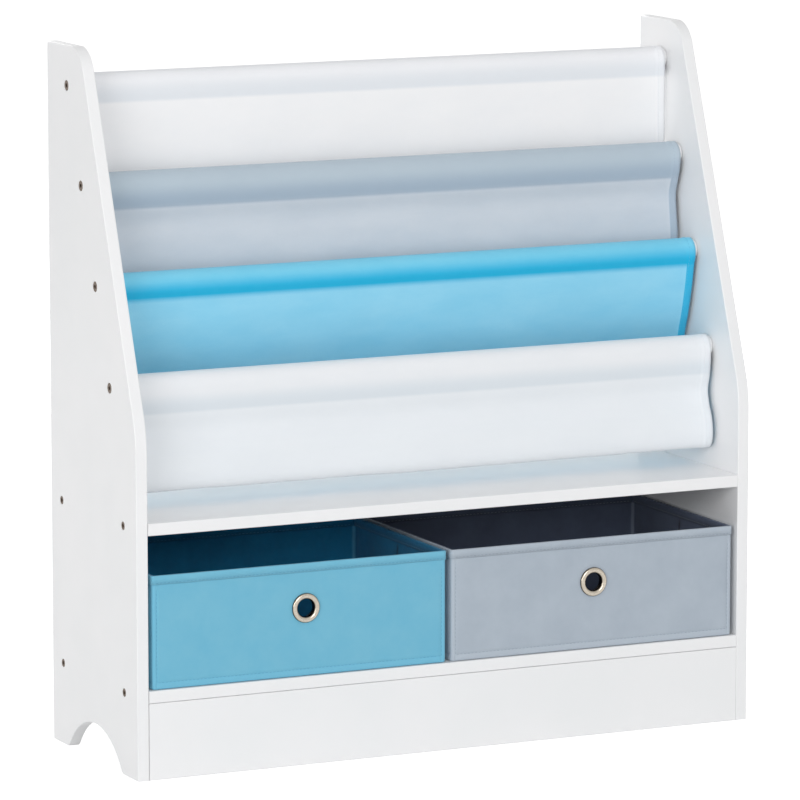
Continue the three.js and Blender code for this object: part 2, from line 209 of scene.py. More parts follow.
def sliced(bm, axis, places):
    """Scores the whole mesh along flat planes across an axis, so that it can be bent or drilled there."""
    for place in places:
        scored(bm, bm.verts[:] + bm.edges[:] + bm.faces[:], axis, place)


def carried_on(bm, edges, centre, scale, shift):
    """Draws a ring of edges out into a new one, resized about a centre and moved."""
    made = bmesh.ops.extrude_edge_only(bm, edges=edges)["geom"]
    verts = only(bmesh.types.BMVert, made)
    bmesh.ops.scale(bm, verts=verts, vec=scale, space=Matrix.Translation(-Vector(centre)))
    bmesh.ops.translate(bm, verts=verts, vec=shift)
    new = set(verts)
    return [e for e in only(bmesh.types.BMEdge, made) if set(e.verts) <= new]


def hole_at(bm, at, radius, sides):
    """Opens a round hole in the middle of the face that lies nearest to a place, and returns its edge."""
    face = min(bm.faces, key=lambda f: (f.calc_center_median() - at).length)
    centre = face.calc_center_median()
    rim = face.edges[:]
    bmesh.ops.delete(bm, geom=[face], context="FACES_ONLY")
    cuts = sides // len(rim) - 1
    rim = only(bmesh.types.BMEdge, bmesh.ops.subdivide_edges(bm, edges=rim, cuts=cuts)["geom_split"])
    hole = carried_on(bm, rim, centre, AS_WIDE, Vector())
    for vert in {v for e in hole for v in e.verts}:
        vert.co = centre + (vert.co - centre).normalized() * (radius * MM)
    return hole


panel_low, panel_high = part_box("side_panel_left")
FRONT, REAR, TOP = panel_low.y / MM, panel_high.y / MM, panel_high.z / MM
SHOULDER_Y, BEND_Z = 24, 333
ARCH_CENTRE, ARCH_REACH, TOE_RADIUS = -46, 72, 8
TOE = math.degrees(math.atan2(TOE_RADIUS - ARCH_CENTRE, ARCH_REACH))
ROD_SCREW_PLACES = [(58, 651), (24, 651 - 280 / 3), (-10, 651 - 560 / 3), (-44, 371)]
SHELF_MIDDLES = (81, 243)
SHELF_SCREW_PLACES = [(y, z) for z in SHELF_MIDDLES for y in (-75, 80)]
SCREW_HOLE, ROD_SCREW_SINK, SHELF_SCREW_SINK = 2.7, 5.3, 4.3
SINK_LIP = 0.8
HOLE_PATCH, HOLE_SIDES = 8, 24
EASING, EASING_STEPS = 1, 3
SHOULDER_ROUND, BEND_ROUND = 20.9, 17.8


def side_panel(side, sign):
    """One panel, from the outline of its outer face; sign is -1 on the left and 1 on the right."""
    low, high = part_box(f"side_panel_{side}")
    outer, inner = (low.x, high.x) if sign < 0 else (high.x, low.x)
    bm = bmesh.new()
    first = bm.verts.new((outer, FRONT * MM, 0))
    point = run_to(bm, first, -ARCH_REACH, 0)
    point = turn_about(bm, point, -ARCH_REACH, TOE_RADIUS, 90 - TOE, 6)
    point = turn_about(bm, point, 0, ARCH_CENTRE, 2 * TOE - 180, 28)
    point = turn_about(bm, point, ARCH_REACH, TOE_RADIUS, 90 - TOE, 6)
    point = run_to(bm, point, REAR, 0)
    point = run_to(bm, point, REAR, TOP)
    shoulder = point = run_to(bm, point, SHOULDER_Y, TOP)
    bend = run_to(bm, point, FRONT, BEND_Z)
    bm.edges.new((bend, first))
    bmesh.ops.contextual_create(bm, geom=bm.edges[:])
    rounded(bm, [shoulder], SHOULDER_ROUND, 12, "VERTICES")
    rounded(bm, [bend], BEND_ROUND, 8, "VERTICES")
    made = bmesh.ops.extrude_face_region(bm, geom=bm.faces[:])["geom"]
    bmesh.ops.translate(bm, verts=only(bmesh.types.BMVert, made), vec=(inner - outer, 0, 0))
    outlines = [e for e in bm.edges if abs(e.verts[0].co.x - e.verts[1].co.x) < TOUCHING]
    rounded(bm, outlines, EASING, EASING_STEPS)
    places = ROD_SCREW_PLACES + SHELF_SCREW_PLACES
    sliced(bm, BACKWARD, sorted({(y + d) * MM for y, _ in places for d in (-HOLE_PATCH, HOLE_PATCH)}))
    sliced(bm, UPWARD, sorted({(z + d) * MM for _, z in places for d in (-HOLE_PATCH, HOLE_PATCH)}))
    for y, z in places:
        wide = ROD_SCREW_SINK if (y, z) in ROD_SCREW_PLACES else SHELF_SCREW_SINK
        at = Vector((outer, y * MM, z * MM))
        hole = hole_at(bm, at, wide, HOLE_SIDES)
        hole_at(bm, Vector((inner, *at.yz)), SCREW_HOLE, HOLE_SIDES)
        narrow = SCREW_HOLE / wide
        cone = carried_on(bm, hole, at, AS_WIDE, (-sign * SINK_LIP * MM, 0, 0))
        cone = carried_on(bm, cone, at, (1, narrow, narrow), (sign * (SCREW_HOLE - wide) * MM, 0, 0))
        left_over = inner - outer + sign * (SINK_LIP + wide - SCREW_HOLE) * MM
        carried_on(bm, cone, at, AS_WIDE, (left_over, 0, 0))
    finished(f"{side}_side_board", bm, white_lacquer, "shelf", [f"side_panel_{side}"],
             even=True)


for side, sign in (("left", -1), ("right", 1)):
    side_panel(side, sign)


# Shelves and plinth
# Three boards of the same lacquered stock between the panels, cut square at their ends and eased along their
# edges. The shelves are held by screws through the panels, and the plinth by two dowels at each end.
def block(node):
    """A plain block that fills the box of one of the solids."""
    low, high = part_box(node)
    bm = bmesh.new()
    corners = bmesh.ops.create_cube(bm, size=1)["verts"]
    bmesh.ops.scale(bm, verts=corners, vec=high - low)
    bmesh.ops.translate(bm, verts=corners, vec=(low + high) / 2)
    return bm


for node in ("lower_shelf", "upper_shelf", "front_plinth"):
    bm = block(node)
    long_edges = [e for e in bm.edges if abs(e.verts[0].co.x - e.verts[1].co.x) > 0.1]
    rounded(bm, long_edges, EASING, EASING_STEPS)
    finished(f"{node}_board", bm, white_lacquer, "shelf", [node], even=True)


def given(node, material):
    """Gives one of the plain solids a finish."""
    node.data.materials.clear()
    node.data.materials.append(material)


# The dowels are plain fluted hardwood, hidden in the plinth's ends.
dowel_wood = finish("dowel_wood", mottled(spots(900, 3, drawn=(0.1, 1, 1)), "#D8BD8C", "#BF9F69"),
                    wandering(spots(300), 0.6, 0.8, 0, 1), spots(1800, drawn=(0.05, 1, 1)), 0.1 * MM)
for name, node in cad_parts.items():
    if name.startswith("plinth_dowel"):
        given(node, dowel_wood)


# Back board
# Thin hardboard painted matt white, let in between the panels behind the bay. It is nailed from behind to the
# rear edges of the two shelves.
matt_paint = sprayed("matt_paint", "#E6E6E4", "#DDDDDA", 0.66)
BACK_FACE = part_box("back_board")[1].y
bm = block("back_board")
rounded(bm, bm.edges[:], 0.4, 2)
finished("painted_back_board", bm, matt_paint, "shelf", ["back_board"], even=True)

dark_steel = finish("dark_steel", mottled(spots(700, 3), "#85776B", "#5E544C"),
                    wandering(spots(1500), 0.42, 0.6), spots(2500), 0.03 * MM, metallic=1.0)


def circle(bm, at, axis, radius, segments):
    """The edges of a circle that faces along an axis."""
    facing = Matrix.Translation(at) @ Matrix.Rotation(math.pi / 2, 4, axis)
    rim = bmesh.ops.create_circle(bm, segments=segments, radius=radius * MM, matrix=facing)["verts"]
    return list({e for v in rim for e in v.link_edges})


NAILS_A_ROW, LAST_NAIL, NAIL_RADIUS = 6, 292, 1.9
NAIL_SUNK, NAIL_EDGE, NAIL_DOME = 0.3 * MM, 0.4 * MM, 0.15 * MM
bm = bmesh.new()
for z in SHELF_MIDDLES:
    for place in range(NAILS_A_ROW):
        x = (-LAST_NAIL + place * 2 * LAST_NAIL / (NAILS_A_ROW - 1)) * MM
        at = Vector((x, BACK_FACE - NAIL_SUNK, z * MM))
        edges = circle(bm, at, "X", NAIL_RADIUS, 12)
        edges = carried_on(bm, edges, at, AS_WIDE, (0, NAIL_EDGE, 0))
        edges = carried_on(bm, edges, at, (0.8, 1, 0.8), (0, NAIL_DOME, 0))
        bmesh.ops.contextual_create(bm, geom=edges)
finished("back_board_nails", bm, dark_steel, "shelf")


# Rods
# Four round rods of turned wood, lacquered like the boards. They stand between the panels, and both ends are
# drilled for the screws that hold them.
def turned_x(bm, profile, y, z, steps):
    """Turns a profile of [x, radius] about a line along X through (y, z), all in millimetres."""
    verts = [bm.verts.new((x * MM, (y + r) * MM, z * MM)) for x, r in profile]
    edges = [bm.edges.new(pair) for pair in zip(verts, verts[1:])]
    bmesh.ops.spin(bm, geom=verts + edges, cent=(0, y * MM, z * MM), axis=(1, 0, 0), angle=2 * math.pi,
                   steps=steps, use_merge=True)


ROD_NAMES = ("top", "second", "third", "lowest")
for name, (y, z) in zip(ROD_NAMES, ROD_SCREW_PLACES):
    bm = bmesh.new()
    half = [(-278, 0), (-279, 2.7), (-317.7, 2.7), (-317.7, 9.2), (-317.4, 9.7), (-316.9, 10)]
    turned_x(bm, half + [(-x, r) for x, r in reversed(half)], y, z, 36)
    finished(f"{name}_rod", bm, white_lacquer, "shelf", [f"sling_rod_{name}"])


# Screws
# Countersunk hexagon socket screws of dark steel, flush with the panels: in each panel four into the rods and
# four into the ends of the shelves.
OUTER_FACE = 330
HEAD_EASING, HEAD_EDGE, TIP = 0.3, 0.5, 2
SOCKET, SOCKET_DEPTH = 1.9, 2


def screw(name, node, sign, y, z, head, shank, length):
    """One screw, drawn inward from the rim of its head; head and shank are radii."""
    bm = bmesh.new()
    at = Vector((sign * OUTER_FACE, y, z)) * MM
    inward = Vector((-sign, 0, 0))
    rim = circle(bm, at, "Y", head - HEAD_EASING, 24)
    edges = rim
    cone = head - shank
    for share, depth in ((head / (head - HEAD_EASING), HEAD_EASING), (1, HEAD_EDGE), (shank / head, cone),
                         (1, length - cone - HEAD_EASING - HEAD_EDGE - TIP), (0.4, TIP)):
        edges = carried_on(bm, edges, at, (1, share, share), inward * depth * MM)
    bmesh.ops.contextual_create(bm, geom=edges)
    sides = carried_on(bm, rim, at, (1, 0.6, 0.6), Vector())
    for vert in {v for e in sides for v in e.verts}:
        spoke = vert.co - at
        turned = math.atan2(spoke.z, spoke.y) % math.radians(60)
        vert.co = at + spoke.normalized() * (SOCKET * MM / math.cos(turned - math.radians(30)))
    bottom = carried_on(bm, sides, at, AS_WIDE, inward * SOCKET_DEPTH * MM)
    bmesh.ops.contextual_create(bm, geom=bottom)
    finished(name, bm, dark_steel, "shelf", [node], 35)


SHELF_SCREW_NAMES = ("lower_shelf_front", "lower_shelf_rear", "upper_shelf_front", "upper_shelf_rear")
for side, sign in (("left", -1), ("right", 1)):
    for name, place in zip(ROD_NAMES, ROD_SCREW_PLACES):
        screw(f"{side}_{name}_rod_screw", f"rod_screw_{side}_{name}", sign, *place, head=5, shank=2.4,
              length=50)
    for name, place in zip(SHELF_SCREW_NAMES, SHELF_SCREW_PLACES):
        screw(f"{side}_{name}_screw", f"screw_{side}_{name}", sign, *place, head=4, shank=2, length=42)


# Sling cloth
# Four strips of plain woven polyester. Each has a sleeve over its rod, closed by a stitched line, and hems
# down both sides. The strips are sewn end to end at the pocket bottoms, so that they hang as one zigzag with
# three pockets.
HALF_WIDTH = 314 * MM
SIDE_HEM = 8 * MM
THIN, HEMMED = 0.7 * MM, 1.3 * MM
STEP = 3
THREADS_TO_THE_METRE = 1700


def pattern(name, gives):
    """A pattern that finishes share: its group of nodes, its place on the piece, and what it gives out."""
    group = bpy.data.node_groups.new(name, "ShaderNodeTree")
    group.interface.new_socket("Laid", in_out="INPUT", socket_type="NodeSocketVector")
    for label in gives:
        group.interface.new_socket(label, in_out="OUTPUT", socket_type="NodeSocketFloat")
    return group, group.nodes.new("NodeGroupInput").outputs[0], group.nodes.new("NodeGroupOutput").inputs


def plain_weave():
    """Threads that pass over and under each other: the height of the cloth's face, and where its gaps are."""
    group, laid, out = pattern("plain_weave", ("Height", "Gap"))
    place = put(group, "ShaderNodeSeparateXYZ", {0: laid}).outputs
    across, along = (sum_of(group, "MULTIPLY", place[i], THREADS_TO_THE_METRE) for i in (0, 1))
    cells = sum_of(group, "ADD", sum_of(group, "FLOOR", across), sum_of(group, "FLOOR", along))
    over = sum_of(group, "FLOORED_MODULO", cells, 2.0)
    hump = [sum_of(group, "SINE", sum_of(group, "MULTIPLY", sum_of(group, "FRACT", v), math.pi))
            for v in (across, along)]
    warp, weft = (
        sum_of(group, "MULTIPLY", sum_of(group, "SQRT", a), sum_of(group, "MULTIPLY_ADD", b, 0.5, 0.5))
        for a, b in (hump, hump[::-1])
    )
    mixed = put(group, "ShaderNodeMix", {0: over, 2: warp, 3: weft}).outputs[0]
    group.links.new(mixed, out["Height"])
    group.links.new(ranged(group, mixed, 0.1, 0.6, 1, 0), out["Gap"])
    return group


weave = plain_weave()


def spread(tree, shared, layer):
    """What a shared pattern gives, laid on the piece by one of its UV layers."""
    laid = put(tree, "ShaderNodeUVMap", uv_map=layer).outputs[0]
    return put(tree, "ShaderNodeGroup", {"Laid": laid}, node_tree=shared).outputs, laid


def marked(tree, mark):
    """How strongly a mark is set on the mesh at this place."""
    return put(tree, "ShaderNodeAttribute", attribute_name=mark).outputs["Fac"]


def woven(name, single, doubled, deep):
    """Woven cloth: paler where one layer lets the light through, fuller in colour where it lies double, and
    painted lighter over the rod and darker down to the sleeve's seam as painted highlight and shade.
    """
    def colour(t):
        threads, on_cloth = spread(t, weave, "cloth")
        cloudy = ranged(t, spotty(t, drawn_out(t, on_cloth, (0.55, 1.3, 1)), 22, 5, 0.62), 0.3, 0.72, 0, 1)
        shade = between(t, cloudy, tone(single), between(t, 0.24, tone(single), tone(deep)))
        # The sleeve is painted in the doubled tone over the rod and in the deep tone at its seam: painted
        # highlight and painted shade.
        sleeve = between(t, marked(t, "painted_sleeve_light"), tone(deep), tone(doubled))
        sleeve = between(t, sum_of(t, "MULTIPLY", cloudy, 0.25), sleeve, tone(deep))
        shade = between(t, marked(t, "doubled"), shade, sleeve)
        return between(t, sum_of(t, "MULTIPLY", threads["Gap"], 0.3), shade, tone(deep))

    def height(t):
        threads, on_cloth = spread(t, weave, "cloth")
        return sum_of(t, "MULTIPLY_ADD", spotty(t, on_cloth, 500, 2), 0.6, threads["Height"])

    return finish(name, colour, wandering(spots(120), 0.78, 0.9), height, 0.06 * MM, sheen=0.15)


# The back and front strips are the same white cloth in two tones: brighter on the back strip, as painted
# light coming through it from behind, and greyer on the front strip, as painted shade.
backlit_white_weave = woven("backlit_white_weave", "#F7F7F8", "#F4F5F8", "#E6EAEF")
shaded_white_weave = woven("shaded_white_weave", "#EDF1F5", "#F1F3F6", "#DFE6EC")
grey_weave = woven("grey_weave", "#D2D9E1", "#B9C8D3", "#A8B9C9")
blue_weave = woven("blue_weave", "#9BDDF7", "#84D7F3", "#10B5E2")


def smooth_line(points, step):
    """Points one step apart, more or less, on a smooth line through the points given."""
    points = [Vector(p) for p in points]
    padded = [2 * points[0] - points[1], *points, 2 * points[-1] - points[-2]]
    fine = []
    for a, b, c, d in zip(padded, padded[1:], padded[2:], padded[3:]):
        s, t, u = ((q - p).length ** 0.5 for p, q in ((a, b), (b, c), (c, d)))
        leaving = (b - a) * t / s - (c - a) * t / (s + t) + (c - b)
        arriving = (c - b) - (d - b) * t / (t + u) + (d - c) * t / u
        fine += geometry.interpolate_bezier(b, b + leaving / 3, c - arriving / 3, c, 24)[:-1]
    fine.append(points[-1])
    reach = [0.0]
    for p, q in zip(fine, fine[1:]):
        reach.append(reach[-1] + (q - p).length)
    count = round(reach[-1] / step)
    line, k = [], 0
    for i in range(count + 1):
        target = reach[-1] * i / count
        while k < len(fine) - 2 and reach[k + 1] < target:
            k += 1
        share = (target - reach[k]) / max(reach[k + 1] - reach[k], 1e-9)
        line.append(fine[k].lerp(fine[k + 1], min(share, 1.0)))
    return line, reach[-1]


def waves(*place):
    """Smooth random waves over a place, between about -1 and 1."""
    return noise.noise(Vector(place))


def eased(value, low, high):
    """0 below low, 1 above high, and a smooth rise between them."""
    t = min(max((value - low) / (high - low), 0.0), 1.0)
    return t * t * (3 - 2 * t)


BROAD_SWELL, SLANTED_FOLD, FINE_RIPPLE, SEAM_PUCKER = 1.5, 0.9, 0.2, 0.42
LAYERS_APART = 0.54


class Strip:
    """One strip of the sling: the line it hangs in, seen from the side, and how its cloth ripples."""

    def __init__(self, rod, seam, points, seed):
        line, length = smooth_line(points, STEP)
        self.line = [Vector((y + rod[0], z + rod[1])) * MM for y, z in line]
        self.length = length * MM
        self.seam, self.seed = (Vector(rod) + Vector(seam)) * MM, seed
        count = len(self.line) - 1
        self.pace = self.length / count
        ends = [(max(i - 1, 0), min(i + 1, count)) for i in range(count + 1)]
        self.run = [(self.line[b] - self.line[a]).normalized() for a, b in ends]

    def thick(self, x):
        """How thick the cloth is at x."""
        return HEMMED if abs(x) > HALF_WIDTH - SIDE_HEM else THIN

    def at(self, x, along):
        """The middle of the cloth at x and a distance along it, with its run and its outward direction."""
        i = min(int(along / self.pace), len(self.line) - 2)
        share = along / self.pace - i
        spot = self.line[i].lerp(self.line[i + 1], share)
        run = self.run[i].lerp(self.run[i + 1], share).normalized()
        out = Vector((-run.y, run.x))
        below = (self.seam.y - spot.y) / MM
        to_end = min(along, self.length - along) / MM
        free = eased(below, 4, 34) * eased(to_end, 6, 34)
        wide, slow = x / MM, along / MM
        # Each wave's lengths are in millimetres, across the strip and down it.
        broad = waves(wide / 150, slow / 60, self.seed)
        slanted = waves((wide + 0.8 * slow) / 75, (slow - 0.3 * wide) / 48, self.seed + 4)
        small = waves(wide / 22, slow / 34, self.seed + 8)
        pucker = waves(wide / 5.5, slow / 60, self.seed + 12)
        near_seam = math.exp(-abs(below) / 9) * eased(abs(below), 0, 3)
        near_end = math.exp(-to_end / 7) * eased(to_end, 6, 9)
        offset = free * (BROAD_SWELL * broad + SLANTED_FOLD * slanted + FINE_RIPPLE * small)
        offset += SEAM_PUCKER * pucker * (near_seam + near_end)
        spot = spot + out * offset * MM
        drawn = math.exp(-((spot.y - self.seam.y) / (2.2 * MM)) ** 2)
        gap = self.seam.x - spot.x
        if abs(gap) < 4 * MM:
            spot.x += (gap - math.copysign(LAYERS_APART * self.thick(x), gap)) * drawn
        return Vector((x, *spot)), Vector((0, *run)), Vector((0, *out))

    def crossings(self, z):
        """The distances along the cloth at which it passes the height z."""
        found = []
        for i, (p, q) in enumerate(zip(self.line, self.line[1:])):
            if (p.y - z) * (q.y - z) <= 0 and p.y != q.y:
                found.append((i + (z - p.y) / (q.y - p.y)) * self.pace)
        return found


def thickened(piece, thickness, offset):
    """Gives a sheet its thickness, out of its face where the offset is 1 and into it where it is -1."""
    skin = piece.modifiers.new("fabric thickness", "SOLIDIFY")
    skin.thickness, skin.offset = thickness, offset
    return skin


def cloth_piece(name, strip, material, node, side_shade):
    """One strip's cloth, drawn out from its line in steps and then moved into its ripples."""
    bm = bmesh.new()
    station = bm.verts.layers.int.new("station")
    chain = []
    for i, (y, z) in enumerate(strip.line):
        chain.append(bm.verts.new((-HALF_WIDTH, y, z)))
        chain[-1][station] = i
    last = chain + [bm.edges.new(pair) for pair in zip(chain, chain[1:])]
    fold = 0.4 * MM
    inner = HALF_WIDTH - SIDE_HEM - fold
    for reach, steps in ((SIDE_HEM, 3), (fold, 1), (2 * inner, 150), (fold, 1), (SIDE_HEM, 3)):
        pace = (reach / steps, 0, 0)
        drawn = bmesh.ops.spin(bm, geom=last, cent=(0, 0, 0), axis=ACROSS, dvec=pace, angle=0, steps=steps)
        last = only((bmesh.types.BMVert, bmesh.types.BMEdge), drawn["geom_last"])
    doubled = bm.verts.layers.float.new("doubled")
    painted_sleeve_light = bm.verts.layers.float.new("painted_sleeve_light")
    hem = bm.verts.layers.deform.verify()
    flat = {v: (v.co.x, v[station] * strip.pace) for v in bm.verts}
    for v, (x, along) in flat.items():
        above = (v.co.z - strip.seam.y) / MM
        at_side = 1.0 if abs(x) > HALF_WIDTH - SIDE_HEM - TOUCHING else 0.0
        at_end = 1 - eased(min(along, strip.length - along) / MM, 9, 11)
        v[doubled] = max(eased(above, -1, 0.5), at_side * side_shade, at_end)
        # Painted light on the sleeve: 1 over the top of the rod, falling to 0 at the seam, where the deep
        # tone stands for shade.
        v[painted_sleeve_light] = eased(above, 6, 22)
        v[hem][0] = at_side
        v.co = strip.at(x, along)[0]
    on_cloth = bm.loops.layers.uv.new("cloth")
    for face in bm.faces:
        for loop in face.loops:
            loop[on_cloth].uv = flat[loop.vert]
    piece = finished(name, bm, material, "shelf", [node], smooth_below=60)
    piece.vertex_groups.new(name="hem")
    skin = thickened(piece, HEMMED, 0)
    skin.vertex_group, skin.thickness_vertex_group = "hem", THIN / HEMMED
    return piece


STITCH_WIDTH, STITCH_HEIGHT, STITCH_PITCH = 0.5, 0.4, 3.4


def stitched(rows, name, material, body, length=2.7):
    """Rows of short threads laid end to end on the cloth. Each place is a point, its run and its way out."""
    whole = bmesh.new()
    for row in rows:
        bm = bmesh.new()
        for point, run, out in row:
            lie = Matrix.Translation(point) @ Matrix((run, out.cross(run), out)).transposed().to_4x4()
            size = Matrix.Diagonal((length * MM, STITCH_WIDTH * MM, STITCH_HEIGHT * MM, 1))
            bmesh.ops.create_icosphere(bm, subdivisions=1, radius=0.5, matrix=lie @ size)
        line = bpy.data.meshes.new("row_of_stitches")
        bm.to_mesh(line)
        bm.free()
        whole.from_mesh(line)
        bpy.data.meshes.remove(line)
    return finished(name, whole, material, body, smooth_below=80)


def thread(name, light, dark):
    """Sewing thread, a little uneven in colour."""
    colour = mottled(spots(900), light, dark)
    return finish(name, colour, wandering(spots(500), 0.55, 0.7), spots(4000, 1), 0.04 * MM)


white_thread = thread("white_thread", "#F0F1F3", "#E2E5E9")
grey_thread = thread("grey_thread", "#B4C2D0", "#9EAFC1")
blue_thread = thread("blue_thread", "#6CC8E8", "#49B0D8")

SLEEVE_RADIUS = 11.4
ROUND_ROD = [(SLEEVE_RADIUS * math.cos(turn), SLEEVE_RADIUS * math.sin(turn))
             for turn in map(math.radians, (-45, 0, 45, 90, 130))]
# Each strip: its name, its weave, the solid it stands for, where its sleeve is sewn, and the points that its
# line passes, as [y, z] in millimetres from the middle of its rod.
SLING = [
    # from the hem behind the top rod, over it, and down the back of the first pocket
    ("back", "white", "sling_back_strip_white", (-10.8, -17),
     [(-9.8, -17.5), (-1.5, -14), *ROUND_ROD, (-11.5, 2), (-11.8, -8), (-11.8, -20), (-11.8, -50),
      (-11.8, -85), (-9.5, -115), (-4, -142), (-1, -163), (-5, -180), (-14, -189.6), (-24, -189.6)]),
    # up the front of the first pocket, over the second rod, and down the back of the second pocket
    ("grey", "grey", "sling_strip_grey", (-8.2, -23),
     [(20, -94.5), (12, -94.5), (4, -90), (-1.5, -76), (-2.5, -60), (-1, -39), (-7.2, -23), (2.5, -14),
      *ROUND_ROD, (-11.9, 2), (-12.6, -8), (-9, -23), (-3.7, -39), (-6, -58), (-8, -82), (-4, -106),
      (7, -128), (12, -147), (10.5, -167), (6.5, -182), (0, -191.8), (-12, -191.8)]),
    # up the front of the second pocket, over the third rod, and down the back of the third pocket
    ("blue", "blue", "sling_strip_blue", (-8.7, -15),
     [(33, -96.7), (24, -96.4), (17.5, -89), (13, -78), (6, -62), (-2.5, -34), (-7.7, -15), (2.5, -13.6),
      *ROUND_ROD, (-11.8, 2), (-12.2, -6), (-9.5, -15), (-6, -34), (1.8, -63), (8.5, -84), (12, -100),
      (16, -118), (21.5, -140), (22.5, -160), (18, -178), (6, -191.5), (-6, -197), (-20, -197.2)]),
    # up the front of the third pocket, over the lowest rod, and down behind it to its hem
    ("front", "shaded_white", "sling_front_strip_white", (-9.4, -27),
     [(25, -101.8), (13, -101.8), (-2, -102.2), (-12, -100.8), (-16.8, -94), (-17.5, -82), (-14.6, -69),
      (-9.6, -58), (-6.5, -44), (-10.2, -27), (-12, -8), (-11.5, 2), *reversed(ROUND_ROD), (2.5, -14),
      (-8.6, -27.5)]),
]
# Each weave: its cloth, its thread, its slot, and how much its side hems darken.
WEAVES = {
    "white": (backlit_white_weave, white_thread, "white_cloth", 0.3),
    "shaded_white": (shaded_white_weave, white_thread, "white_cloth", 0.3),
    "grey": (grey_weave, grey_thread, "grey_cloth", 0.8),
    "blue": (blue_weave, blue_thread, "blue_cloth", 0.9),
}


STITCH_PROUD = 0.05
END_SEAM, SIDE_SEAM = 5 * MM, HALF_WIDTH - SIDE_HEM + 1.2 * MM


def centred(length, pitch):
    """Places at an even pitch over a length, from its middle."""
    count = int(length / (pitch * MM))
    return [(i - count / 2) * pitch * MM for i in range(count + 1)]


def sewn(strip, places, level=True, faces=(1, -1)):
    """Rows of stitches through places given as [x, distance along a strip], level or running down it."""
    rows = []
    for face in faces:
        row = []
        for x, along in places:
            spot, run, out = strip.at(x, along)
            out *= face
            row.append((spot + out * (strip.thick(x) / 2 + STITCH_PROUD * MM), ACROSS if level else run, out))
        rows.append(row)
    return rows


widths = centred(2 * (HALF_WIDTH - 2 * MM), STITCH_PITCH)
for i, (name, shade, node, seam, points) in enumerate(SLING):
    strip = Strip(ROD_SCREW_PLACES[i], seam, points, 20 * i + 3.7)
    cloth, yarn, slot, side_shade = WEAVES[shade]
    piece = cloth_piece(f"{name}_sling_cloth", strip, cloth, node, side_shade)
    rows = []
    for along in strip.crossings(strip.seam.y):
        if 0 < along < strip.length:
            spot, _, out = strip.at(0, along)
            shown = 1 if (spot.y - strip.seam.x) * out.y > 0 else -1
            rows += sewn(strip, [(x, along) for x in widths], faces=[shown])
    start, end = END_SEAM, strip.length - END_SEAM
    for along in {"back": [end], "front": [start]}.get(name, [start, end]):
        rows += sewn(strip, [(x, along) for x in widths])
    lengths = [strip.length / 2 + along for along in centred(strip.length - 6 * MM, STITCH_PITCH)]
    for x in (SIDE_SEAM, -SIDE_SEAM):
        rows += sewn(strip, [(x, along) for along in lengths], level=False)
    seams = stitched(rows, f"{name}_sling_stitches", yarn, "shelf")


# Fabric boxes
# Two open boxes of thick non-woven fabric sewn round greyboard cards: an outer cover with flat sewn borders,
# a lining, a bound rim and a loose stiff base. Each side wall has a crease in the middle, where the box folds
# flat.
POINTS_TO_THE_METRE = 850


def bonded_points():
    """Non-woven fabric: a lattice of pressed points between matted fibres."""
    group, laid, out = pattern("bonded_points", ("Height",))
    slanted = put(group, "ShaderNodeMapping", {0: laid, 2: (0, 0, math.pi / 4), 3: (1, 1, 0)}).outputs[0]
    place = put(group, "ShaderNodeSeparateXYZ", {0: slanted}).outputs
    turns = 2 * math.pi * POINTS_TO_THE_METRE
    waves = [sum_of(group, "SINE", sum_of(group, "MULTIPLY", place[i], turns)) for i in (0, 1)]
    pressed = ranged(group, sum_of(group, "MULTIPLY", *waves), 0.35, 0.8, 0, 1)
    fibres = spotty(group, drawn_out(group, laid, (1, 0.35, 1)), 2600, 3, 0.7)
    group.links.new(sum_of(group, "SUBTRACT", fibres, sum_of(group, "MULTIPLY", pressed, 0.8)), out["Height"])
    return group


lattice = bonded_points()


def felted(name, plain, cloudy, border, painted_crease_shade=None):
    """Non-woven fabric, a little cloudy, in a border tone where marked (a cover's flat sewn seams, and
    painted light elsewhere), and darkened by painted shade in a fold.
    """
    def colour(t):
        patches = wandering(spots(28, 5, 0.65), 0, 1, 0.32, 0.7)(t)
        fleck = ranged(t, spotty(t, spread(t, lattice, "wall")[1], 1500), 0.3, 0.7, -0.12, 0.12)
        shade = between(t, sum_of(t, "ADD", patches, fleck), tone(plain), tone(cloudy))
        if painted_crease_shade:
            shade = between(t, marked(t, "fold"), shade, tone(painted_crease_shade))
        return between(t, marked(t, "border"), shade, tone(border))

    def height(t):
        return spread(t, lattice, "wall")[0]["Height"]

    return finish(name, colour, wandering(spots(200), 0.82, 0.93), height, 0.08 * MM, sheen=0.1)


greyboard = finish("greyboard", mottled(spots(600, 4, 0.7), "#B0A48F", "#978B78"),
                   wandering(spots(200), 0.85, 0.95, 0, 1), spots(1500, 3), 0.1 * MM)
nickel = finish(
    "nickel",
    # Darker at the flange's edge and the bore's lip: painted shade and painted dark reflection.
    lambda t: between(t, marked(t, "painted_rim_shade"), mottled(spots(500), "#C9C1B4", "#A89E8F")(t), tone("#4A4238")),
    wandering(spots(900, 3), 0.16, 0.28),
    spots(6000, drawn=(1, 0.2, 1)),
    0.006 * MM,
    metallic=1.0,
)

